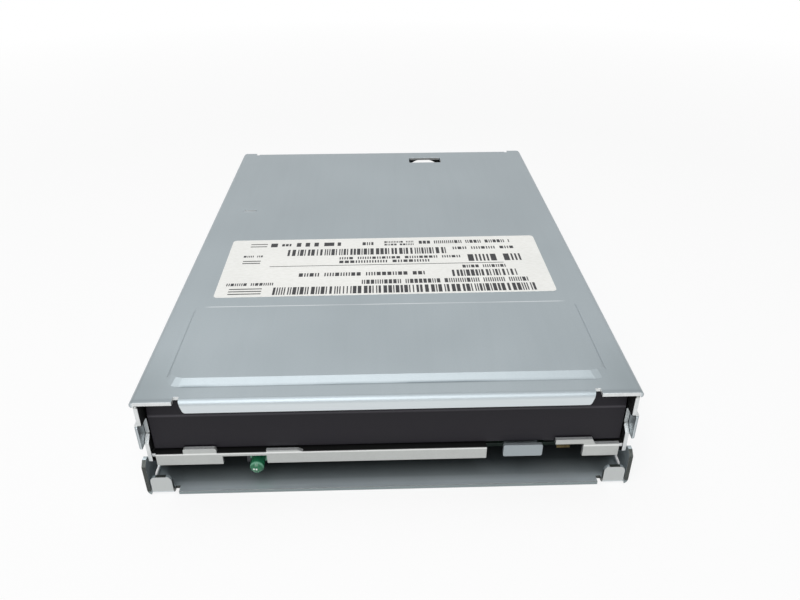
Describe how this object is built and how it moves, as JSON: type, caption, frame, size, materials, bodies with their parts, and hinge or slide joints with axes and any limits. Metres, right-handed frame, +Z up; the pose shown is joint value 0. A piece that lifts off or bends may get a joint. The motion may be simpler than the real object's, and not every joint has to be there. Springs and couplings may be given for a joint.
{
  "type": "floppy disk drive",
  "caption": "Bare slim floppy disk drive: galvanised cover and tray, dark front flap, eject tab, and a working loader, spindle and head carriage inside.",
  "frame": {"origin": "centre of the footprint, on the underside of the bottom tray", "axes": "+Z up, -Y out of the front where the disk goes in, +X to the right as seen from the front"},
  "size_m": [0.1016, 0.142, 0.0254],
  "materials": {
    "cover_steel": "galvanised sheet, matt blue-grey",
    "tray_steel": "galvanised sheet, matt grey",
    "frame_steel": "zinc-plated sheet, light grey",
    "slider_steel": "zinc-plated sheet",
    "bright_steel": "bright plated steel",
    "spring_steel": "spring wire",
    "iron_core": "stamped core laminations",
    "magnet": "ferrite, matt dark grey",
    "brass": "spring brass",
    "dark_plastic": "dark grey moulding",
    "black_plastic": "black moulding",
    "white_plastic": "off-white moulding",
    "ceramic": "polished ceramic",
    "copper": "enamelled copper winding",
    "board": "circuit board with green coating",
    "film": "flexible film circuit",
    "paper": "paper label",
    "green_lens": "clear green lens"
  },
  "bodies": {
    "chassis": {"bottom_tray": "tray_steel", "top_cover": "cover_steel", "cover_label": "paper", "flap_spring": "spring_steel", "main_frame": "frame_steel", "slider_spring_left": "spring_steel", "slider_spring_right": "spring_steel", "motor_board": "board", "bearing_sleeve": "brass", "stator_core": "iron_core", "stator_coils": "copper", "guide_rod_left": "bright_steel", "guide_rod_right": "bright_steel", "rod_strap_front": "black_plastic", "rod_strap_rear": "black_plastic", "screw_bearing": "white_plastic", "stepper_motor": "bright_steel", "stepper_bracket": "frame_steel", "main_board": "board", "controller_chip": "black_plastic", "data_connector": "black_plastic", "power_connector": "white_plastic", "track_zero_sensor": "black_plastic", "ribbon_socket": "white_plastic", "head_ribbon": "film", "led_lamp": "green_lens", "led_holder": "black_plastic", "write_protect_switch": "black_plastic", "density_switch": "black_plastic", "disk_switch": "black_plastic", "contact_leaf": "brass", "motor_board_screw_1": "bright_steel", "motor_board_screw_2": "bright_steel", "motor_board_screw_3": "bright_steel", "main_board_screw_1": "bright_steel", "main_board_screw_2": "bright_steel", "bracket_screw_1": "bright_steel", "bracket_screw_2": "bright_steel", "frame_screw_left_front": "bright_steel", "frame_screw_left_rear": "bright_steel", "frame_screw_right_front": "bright_steel", "frame_screw_right_rear": "bright_steel"},
    "flap": {"front_flap": "dark_plastic"},
    "slider": {"slider_plate": "slider_steel"},
    "holder": {"disk_holder": "frame_steel", "lever_spring": "spring_steel"},
    "lever": {"shutter_lever": "bright_steel"},
    "carriage": {"head_carriage": "black_plastic", "lower_head": "ceramic", "arm_spring": "spring_steel"},
    "arm": {"head_arm": "white_plastic", "upper_head": "ceramic"},
    "lead_screw": {"lead_screw": "bright_steel"},
    "spindle": {"rotor_cup": "bright_steel", "rotor_magnet": "magnet", "spindle_shaft": "bright_steel", "spindle_hub": "bright_steel"},
    "drive_pin": {"drive_pin": "bright_steel"},
    "write_protect": {"write_protect_plunger": "white_plastic"},
    "density": {"density_plunger": "white_plastic"}
  },
  "joints": [
    {"name": "flap_hinge", "type": "hinge", "parent": "chassis", "child": "flap", "pos_m": [0, -0.0666, 0.0219], "axis": [1, 0, 0], "range_deg": [0, 78], "stiffness_Nm_per_rad": 0.0005, "springref_deg": -20.05, "deforming": ["flap_spring"]},
    {"name": "slider_slide", "type": "slide", "parent": "chassis", "child": "slider", "axis": [0, -1, 0], "range_m": [0, 0.0055], "deforming": ["slider_spring_left", "slider_spring_right"]},
    {"name": "holder_drop", "type": "slide", "parent": "chassis", "child": "holder", "axis": [0, 0, -1], "range_m": [0, 0.0026]},
    {"name": "lever_turn", "type": "hinge", "parent": "holder", "child": "lever", "pos_m": [-0.034, 0.019, 0.019], "axis": [0, 0, 1], "range_deg": [0, 35], "deforming": ["lever_spring"]},
    {"name": "carriage_slide", "type": "slide", "parent": "chassis", "child": "carriage", "axis": [0, -1, 0], "range_m": [0, 0.015], "deforming": ["head_ribbon"]},
    {"name": "screw_turn", "type": "hinge", "parent": "chassis", "child": "lead_screw", "pos_m": [-0.01951, 0.029, 0.0074], "axis": [0, 1, 0], "range_deg": [0, 1441]},
    {"name": "head_arm_lift", "type": "hinge", "parent": "carriage", "child": "arm", "pos_m": [0, 0.0508, 0.015], "axis": [1, 0, 0], "range_deg": [0, 12]},
    {"name": "spindle_turn", "type": "hinge", "parent": "chassis", "child": "spindle", "pos_m": [0, -0.013, 0.008], "axis": [0, 0, 1], "continuous": true},
    {"name": "drive_pin_press", "type": "slide", "parent": "spindle", "child": "drive_pin", "axis": [0, 0, -1], "range_m": [0, 0.0008], "stiffness_N_per_m": 120, "springref_m": -0.001},
    {"name": "write_protect_press", "type": "slide", "parent": "chassis", "child": "write_protect", "axis": [0, 0, -1], "range_m": [0, 0.0012], "stiffness_N_per_m": 60, "springref_m": -0.001},
    {"name": "density_press", "type": "slide", "parent": "chassis", "child": "density", "axis": [0, 0, -1], "range_m": [0, 0.0012], "stiffness_N_per_m": 60, "springref_m": -0.001}
  ],
  "couplings": [
    {"joint": "holder_drop", "follows": "slider_slide", "ratio": 0.4727},
    {"joint": "lever_turn", "follows": "slider_slide", "rad_per_m": 111.06},
    {"joint": "head_arm_lift", "follows": "slider_slide", "rad_per_m": 38.07},
    {"joint": "screw_turn", "follows": "carriage_slide", "rad_per_m": 1675.5}
  ]
}
